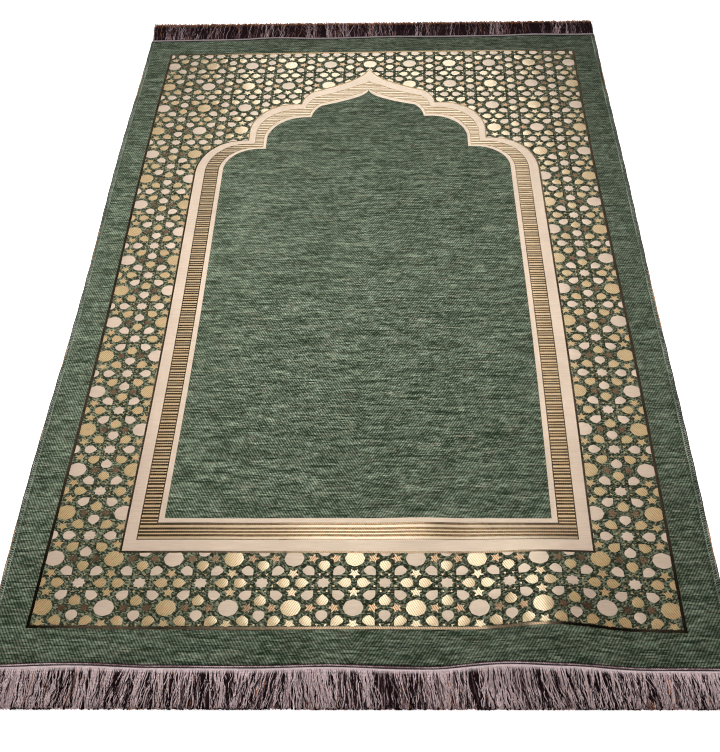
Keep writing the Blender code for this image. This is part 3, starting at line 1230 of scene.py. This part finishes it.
def strand_material(fringe):
    """Two-ply fringe yarn, in slate, two mauves and rust, and some of it with orange tips. The
    fractions of a strand's tone, times different numbers, are its further random numbers."""
    yarn = Yarn(f"fringe_yarn_{fringe.name}")
    around_it, along = yarn.map("strand")
    tone = yarn.attribute("tone")
    mauve = yarn.colour(tone.smooth(fringe.slate - 0.05, fringe.slate + 0.05), SLATE, MAUVE_MID)
    lighter = tone.smooth(fringe.mid - 0.08, fringe.mid + 0.08)
    mauve = yarn.colour(lighter, mauve, MAUVE_LIGHT)
    beneath = 1.0 - tone.over(0.06)
    rusty = (tone * 41.0).fraction().over(fringe.light - beneath * 0.14)
    rusty = rusty * (along + (tone * 97.0).fraction() * 0.5).smooth(0.25, 0.45)
    mauve = yarn.colour(rusty, mauve, RUST)
    tipped = along.smooth(0.78, 0.90) * (tone * 7.0).fraction().over(1.0 - fringe.tipped)
    mauve = yarn.colour(tipped, mauve, ORANGE)
    ply = (around_it * 2.0 + along * 13.0).ridge()
    fibre = yarn.noise(around_it * 9.0 + tone * 50.0, along * 40.0)
    shade = ply.smooth(0.0, 0.6) * 0.40 + fibre * 0.7 + 0.30
    height = ply + fibre * 0.6
    if fringe.name == "front":
        root = (along + (tone * 53.0).fraction() * 0.06).smooth(0.02, 0.15)
        mauve = yarn.colour(root, PALE_PINK, mauve)
    return yarn.finish(
        yarn.shaded(mauve, shade),
        height,
        depth=0.00030,
        roughness=0.85,
        specular_ior_level=0.08,
    )


def thread_material(name, dark, light, pitch):
    """A plain sewing thread, lighter and darker along its run."""
    yarn = Yarn(name)
    x, y, z = yarn.place()
    tone = yarn.noise(x * 300.0 + z * 700.0, y * 500.0)
    run = yarn.noise(x * 12.0, y * 12.0)
    colour = yarn.colour((tone * 0.6 + run * 0.6).smooth(0.35, 0.85), dark, light)
    height = ((x + y + z) / pitch).ridge() + tone
    return yarn.finish(colour, height, depth=0.00015, roughness=0.75, specular_ior_level=0.25)


def edge_thread_material():
    """The thread round the long sides: dark brown, with orange lengths."""
    yarn = Yarn("edge_thread")
    x, y, z = yarn.place()
    tone = yarn.noise(y * 160.0, z * 500.0)
    run = yarn.noise(y * 8.0 + 3.0, x * 9.0)
    share = (run + tone * 0.12).smooth(0.60, 0.72)
    colour = yarn.colour(share, EDGE_DARK, EDGE_LIGHT)
    return yarn.finish(colour, tone, depth=0.00015, roughness=0.75, specular_ior_level=0.25)


def heading_material(fringe):
    """The pale woven band that holds the fringe's yarns side by side. Beside the hem it is painted
    dark, as the shade under and between the cords.
    """
    yarn = Yarn(f"heading_band_{fringe.name}")
    x, y, _ = yarn.place()
    out = y * fringe.outward - HALF_LENGTH
    end = x / HEADING_PITCH
    tone = yarn.noise(x * 400.0, y * 90.0)
    pink = yarn.colour(tone.smooth(0.2, 0.8), MAUVE_LIGHT, PALE_PINK)
    # painted shade: slate up to here, under and between the cords
    limit = fringe.heading.dark_until
    colour = yarn.colour(out.smooth(limit - 0.0002, limit + 0.0002), SLATE, pink)
    shade = (end.ridge() * 0.25 + 0.80) * fringe.heading.shade
    height = end.ridge() + tone * 0.3
    return yarn.finish(yarn.shaded(colour, shade), height, depth=0.0003, roughness=0.7)


# ==== Threads and strands
def tube_mesh(name, paths, radii, sides, reference=(0, 0, 1), columns=1):
    """Tubes along many paths of the same number of points, joined into one mesh.

    paths is an array of tubes by points by 3, and radii is one number or tubes by points. The
    tubes' sides are turned from the reference, which no path runs along. The map named strand
    runs round and along each tube, and the bake's map gives each tube its own cell."""
    tubes, steps = paths.shape[:2]
    radii = np.broadcast_to(radii, (tubes, steps))
    ahead = np.gradient(paths, axis=1)
    ahead /= np.linalg.norm(ahead, axis=2, keepdims=True)
    aside = np.cross(ahead, np.array(reference, float))
    aside /= np.linalg.norm(aside, axis=2, keepdims=True)
    upward = np.cross(aside, ahead)
    angles = WHOLE_TURN * np.arange(sides) / sides
    ring = (
        aside[:, :, None, :] * np.cos(angles)[None, None, :, None]
        + upward[:, :, None, :] * np.sin(angles)[None, None, :, None]
    )
    places = paths[:, :, None, :] + ring * radii[:, :, None, None]

    first = np.arange(tubes * (steps - 1) * sides)
    side = first % sides
    step = first // sides % (steps - 1)
    tube = first // (sides * (steps - 1))
    start = (tube * steps + step) * sides
    beside = (side + 1) % sides
    faces = np.stack(
        [start + side, start + beside, start + sides + beside, start + sides + side], 1
    )
    around_it = np.stack([side, side + 1, side + 1, side], 1) / sides
    along = np.stack([step, step, step + 1, step + 1], 1) / (steps - 1)

    cap = np.arange(sides)
    caps = np.concatenate(
        [
            np.arange(tubes)[:, None] * steps * sides + cap[::-1],
            (np.arange(tubes)[:, None] * steps + steps - 1) * sides + cap,
        ]
    )
    mesh = bpy.data.meshes.new(name)
    mesh.from_pydata(places.reshape(-1, 3).tolist(), [], faces.tolist() + caps.tolist())

    cap_along = np.repeat([0.0, 1.0], tubes * sides)
    cap_tube = np.tile(np.repeat(np.arange(tubes), sides), 2)
    turn = np.concatenate([around_it.ravel(), np.full(len(cap_along), 0.5)])
    run = np.concatenate([along.ravel(), cap_along])
    which = np.concatenate([np.repeat(tube, 4), cap_tube])
    strand_map = mesh.uv_layers.new(name="strand")
    strand_map.uv.foreach_set("vector", np.stack([turn, run], 1).ravel())
    rows = math.ceil(tubes / columns)
    u = (which % columns + CELL_MARGIN_U + (1 - 2 * CELL_MARGIN_U) * turn) / columns
    v = (which // columns + CELL_MARGIN_V + (1 - 2 * CELL_MARGIN_V) * run) / rows
    bake_map = mesh.uv_layers.new(name="OFBake")
    bake_map.uv.foreach_set("vector", np.stack([u, v], 1).ravel())
    mesh.shade_smooth()
    return mesh


def layer_paths(layer, fringe, draw):
    """Centre lines, radii and tones of one layer of a fringe's strands."""
    count = layer.count
    outward = fringe.outward
    hem_y = outward * HALF_LENGTH
    left, right = hem_ends(outward, FRINGE_INSET)
    share = (np.arange(count) + 0.5 + draw.uniform(-layer.stray, layer.stray, count)) / count
    root_x = left + (right - left) * share
    root_y = fringe.root - draw.uniform(0.0, ROOT_RAGGED, count)
    along = np.linspace(0.0, 1.0, STRAND_STEPS)[None, :]
    reach = fringe.reach_left + (fringe.reach_right - fringe.reach_left) * share
    length = reach - draw.uniform(0.0, RAGGED, count) - root_y
    run = length[:, None] * along

    edges = np.sort(draw.uniform(left, right, layer.clumps))
    clump = np.searchsorted(edges, root_x)
    middles = np.concatenate([[left], (edges[1:] + edges[:-1]) / 2, [right]])
    pull = draw.uniform(0.2, 1.0, len(middles))[clump] * layer.pull
    clump_lean = draw.normal(0.0, 1.0, len(middles))[clump]
    lean = layer.lean * (clump_lean * CLUMP_LEAN + draw.normal(0.0, STRAND_LEAN, count))
    lean = lean + slant_at(fringe.slants, root_x)
    gather = (middles[clump] - root_x)[:, None] * pull[:, None] * along**GATHER_POWER
    wave_length = draw.uniform(*STRAND_WAVE_LENGTHS, (count, 1))
    wave = draw.uniform(0.1, 1.0, (count, 1)) * layer.wave
    start = draw.uniform(0, WHOLE_TURN, (count, 1))
    growth = np.minimum(along * STRAND_WAVE_GROWTH, 1.0)
    swing = wave * growth * np.sin(WHOLE_TURN * run / wave_length + start)
    x = root_x[:, None] + lean[:, None] * run + gather + swing
    x = np.clip(x, left - FRINGE_SPILL, right + FRINGE_SPILL)
    y = hem_y + outward * (root_y[:, None] + run)

    radius = layer.radius * draw.uniform(*STRAND_RADII, count)
    level = draw.uniform(0.0, 1.0, count)
    root_z = lift(root_x, hem_y) + layer.bottom
    rest_z = layer.bottom + layer.rise * level**LOW_POWER
    settle = np.clip(along / STRAND_SETTLE, 0, 1)
    settle = settle * settle * (3 - 2 * settle)
    z = root_z[:, None] + (rest_z - root_z)[:, None] * settle
    hump_size = HUMP_SIZE * level[:, None] * growth
    z = z + hump_size * np.sin(WHOLE_TURN * run / (wave_length * HUMP_STRETCH) + 2 * start)
    z = np.maximum(z, 0.0) + radius[:, None] + CLEARANCE
    radii = radius[:, None] * (1.0 - STRAND_TAPER * along**2)
    tone = draw.uniform(layer.tone_low, layer.tone_high, count)
    tone = tone + draw.normal(0.0, CLUMP_TONE, len(middles))[clump]
    tone = np.clip(tone, layer.tone_low + 0.001, layer.tone_high)
    return np.stack([x, y, z], 2), radii, tone


def build_strands(fringe, material):
    """One fringe's strands as a joined mesh."""
    draw = np.random.default_rng(FRINGE_SEED + fringe.outward)
    layers = [layer_paths(layer, fringe, draw) for layer in FRINGE_LAYERS]
    paths, radii, tone = (np.concatenate(parts) for parts in zip(*layers))
    name = f"strands_{fringe.name}"
    mesh = tube_mesh(name, paths, radii, STRAND_SIDES, columns=96)
    values = np.repeat(tone, STRAND_STEPS * STRAND_SIDES)
    attribute = mesh.attributes.new("tone", "FLOAT", "POINT")
    attribute.data.foreach_set("value", values.astype(np.float32))
    return add_piece(name, mesh, [material])


def build_hem_cord(name, outward, cord, material):
    """A sewn cord beside a short hem: two plies twisted together."""
    hem_y = outward * HALF_LENGTH
    left, right = hem_ends(outward, 0.001)
    x = np.linspace(left, right, int((right - left) / cord.pitch * 8))
    uneven = CORD_UNEVEN * np.sin(x * 95.0 + cord.out * 4000.0)
    paths = []
    for ply in range(2):
        angle = WHOLE_TURN * x / cord.pitch + np.pi * ply
        y = hem_y + outward * (cord.out + uneven + cord.radius * np.cos(angle))
        z = lift(x, hem_y) + CLOTH_THICK - CORD_SUNK + cord.radius * np.sin(angle)
        paths.append(np.stack([x, y, z], 1))
    mesh = tube_mesh(name, np.array(paths), cord.radius * PLY_THICK, sides=6)
    return add_piece(name, mesh, [material])


def build_heading(name, outward, heading, material):
    """The band beside a short hem: a thin crowned strip that dips to the strands."""
    hem_y = outward * HALF_LENGTH
    left, right = hem_ends(outward)
    bm = bmesh.new()
    bmesh.ops.create_grid(bm, x_segments=HEADING_STEPS, y_segments=6, size=0.5)
    for vert in bm.verts:
        share = vert.co.y + 0.5
        x = left + (right - left) * (vert.co.x + 0.5)
        uneven = 0.0004 * math.sin(x * 210.0) + 0.0003 * math.sin(x * 577.0 + 1.0)
        out = heading.start + (heading.end + uneven - heading.start) * share
        crown = HEADING_CROWN * math.sin(math.pi * share) - HEADING_DIP * share**2
        vert.co = (x, hem_y + outward * out, float(lift(x, hem_y)) + crown)
    top = bmesh.ops.extrude_face_region(bm, geom=bm.faces[:])
    for item in top["geom"]:
        if isinstance(item, bmesh.types.BMVert):
            item.co.z += heading.thick
    for vert in bm.verts:
        vert.co.z = max(vert.co.z, CLEARANCE)
    bmesh.ops.recalc_face_normals(bm, faces=bm.faces[:])
    mesh = mesh_from(bm, name)
    mesh.shade_smooth()
    mesh.set_sharp_from_angle(angle=HEADING_SHARP_FROM)
    return add_piece(name, mesh, [material])


def build_overlock(name, share, material):
    """The slanting stitches that bind a long side, each over the edge and under it."""
    draw = np.random.default_rng(int(20 + share))
    count = int(CLOTH_LENGTH / STITCH_PITCH) - 1
    y = -HALF_LENGTH + STITCH_PITCH * (np.arange(count) + 0.9)
    y = (y + draw.uniform(-STITCH_UNEVEN, STITCH_UNEVEN, count))[:, None]
    along = np.linspace(0.0, 1.0, 8)[None, :]
    turn = np.clip((along - STITCH_OVER) / STITCH_ROUND, 0, 1) * np.pi
    uneven = draw.uniform(-STITCH_REACH_UNEVEN, STITCH_REACH_UNEVEN, count)
    reach = (STITCH_REACH + uneven)[:, None]
    inward = reach * np.clip(1.0 - along / STITCH_OVER, 0, 1) - STITCH_BULGE * np.sin(turn)
    under = 1.0 - STITCH_UNDER
    inward = inward + np.clip((along - under) / STITCH_UNDER, 0, 1) * STITCH_TUCK
    half_thick = CLOTH_THICK / 2 + STITCH_RADIUS * 0.6
    stitch_y = y - STITCH_SLANT * (1.0 - along)
    edge = side_x(share, stitch_y)
    x = edge - share * inward
    base = lift(edge, stitch_y) + CLOTH_THICK / 2
    z = base + half_thick * np.cos(turn)
    dip = np.clip(1.0 - along / STITCH_DIP, 0, 1) * STITCH_DIP_DEPTH
    z = np.maximum(z - dip, STITCH_RADIUS)
    paths = np.stack([x, np.broadcast_to(stitch_y, x.shape), z], 2)
    mesh = tube_mesh(name, paths, STITCH_RADIUS, sides=5, reference=(0, 1, 0), columns=60)
    return add_piece(name, mesh, [material])


def build_side_thread(side_name, share, thread, material):
    """A thread that runs along a long side, straight or swaying with the stitches."""
    step = STITCH_PITCH / 8
    y = np.arange(-HALF_LENGTH + 0.001, HALF_LENGTH - 0.001, step)
    turn = WHOLE_TURN * y / STITCH_PITCH
    uneven = SIDE_THREAD_UNEVEN * np.sin(y * 140.0)
    inward = thread.inward + thread.sway * np.sin(turn) + uneven
    x = side_x(share, y) - share * inward
    z = lift(x, y) + thread.height + SIDE_THREAD_UNEVEN * np.cos(turn)
    paths = np.stack([x, y + thread.sway * 0.7 * np.sin(2 * turn), z], 1)[None]
    name = f"{thread.name}_thread_{side_name}"
    mesh = tube_mesh(name, paths, thread.radius, sides=5)
    return add_piece(name, mesh, [material])


# ==== Studio
def add_floor():
    """A plain pale floor."""
    bm = bmesh.new()
    bmesh.ops.create_circle(bm, cap_ends=True, radius=FLOOR_RADIUS, segments=96)
    mesh = mesh_from(bm, "floor")
    floor = add_object("floor", mesh)
    floor.location.z = -FLOOR_DROP
    material = bpy.data.materials.new("studio_floor")
    material.use_nodes = True
    shader = material.node_tree.nodes["Principled BSDF"]
    feed(shader.inputs["Base Color"], WHITE)
    feed(shader.inputs["Roughness"], 0.9)
    feed(shader.inputs["Specular IOR Level"], 0.2)
    feed(shader.inputs["Emission Color"], WHITE)
    feed(shader.inputs["Emission Strength"], FLOOR_GLOW)
    mesh.materials.append(material)


def add_soft_box(box):
    """A soft box that faces its target."""
    light = bpy.data.lights.new(box.name, "AREA")
    light.shape = "RECTANGLE"
    light.size = box.width
    light.size_y = box.height
    light.energy = box.power
    light.spread = math.radians(box.spread)
    lamp = add_object(box.name, light)
    lamp.location = box.place
    lamp.visible_camera = False
    direction = Vector(box.target) - Vector(box.place)
    lamp.rotation_mode = "QUATERNION"
    lamp.rotation_quaternion = direction.to_track_quat("-Z", "Y")


def add_lights():
    """The soft boxes, and a faint light from all round."""
    for box in SOFT_BOXES:
        add_soft_box(box)
    world = bpy.data.worlds.new("studio")
    world.use_nodes = True
    background = world.node_tree.nodes["Background"]
    feed(background.inputs["Color"], WHITE)
    feed(background.inputs["Strength"], WORLD_GLOW)
    bpy.context.scene.world = world


def add_camera():
    """The photograph's viewpoint, with its slight turn and roll."""
    ahead = math.cos(CAMERA_PITCH)
    forward = Vector(
        (math.sin(CAMERA_YAW) * ahead, math.cos(CAMERA_YAW) * ahead, -math.sin(CAMERA_PITCH))
    )
    level = Vector((math.cos(CAMERA_YAW), -math.sin(CAMERA_YAW), 0.0))
    upright = level.cross(forward)
    right = math.cos(CAMERA_ROLL) * level + math.sin(CAMERA_ROLL) * upright
    up = math.cos(CAMERA_ROLL) * upright - math.sin(CAMERA_ROLL) * level
    lens = bpy.data.cameras.new("camera")
    lens.lens = CAMERA_LENS
    lens.sensor_width = CAMERA_SENSOR
    lens.shift_x = CAMERA_SHIFT_X
    lens.clip_start = 0.05
    lens.clip_end = 60.0
    camera = add_object("camera", lens)
    turn = Matrix((right, up, -forward)).transposed()
    camera.matrix_world = Matrix.Translation(CAMERA_PLACE) @ turn.to_4x4()
    bpy.context.scene.camera = camera


def set_view():
    """Plain colours and a crisp weave, as a product photograph has."""
    cycles = bpy.context.scene.cycles
    cycles.filter_width = 1.15
    cycles.denoising_prefilter = "NONE"
    view = bpy.context.scene.view_settings
    view.view_transform = "Standard"
    view.look = "None"
    view.exposure = 0.0
    view.gamma = 1.0


def main():
    cloth = add_piece("cloth_visual", cloth_mesh(), cloth_materials())
    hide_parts("cloth")

    overlock = thread_material("overlock_thread", OVERLOCK_DARK, OVERLOCK_LIGHT, 0.0012)
    edge = edge_thread_material()
    cords = {
        "mauve": thread_material("hem_cord_mauve", MAUVE_MID, MAUVE_LIGHT, 0.0010),
        "dark": thread_material("hem_cord_dark", SLATE, EDGE_DARK, 0.0010),
    }
    for name, share in (("left", -1), ("right", 1)):
        build_overlock(f"overlock_{name}", share, overlock)
        build_side_thread(name, share, CHAIN, overlock)
        build_side_thread(name, share, EDGE_THREAD, edge)

    for fringe in FRINGES:
        strands = build_strands(fringe, strand_material(fringe))
        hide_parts(f"fringe_{fringe.name}")
        band = heading_material(fringe)
        heading = f"heading_{fringe.name}"
        build_heading(heading, fringe.outward, fringe.heading, band)
        for number, cord in enumerate(fringe.cords):
            name = f"hem_cord_{fringe.name}_{number + 1}"
            build_hem_cord(name, fringe.outward, cord, cords[cord.shade])

    add_floor()
    add_lights()
    add_camera()
    set_view()


main()
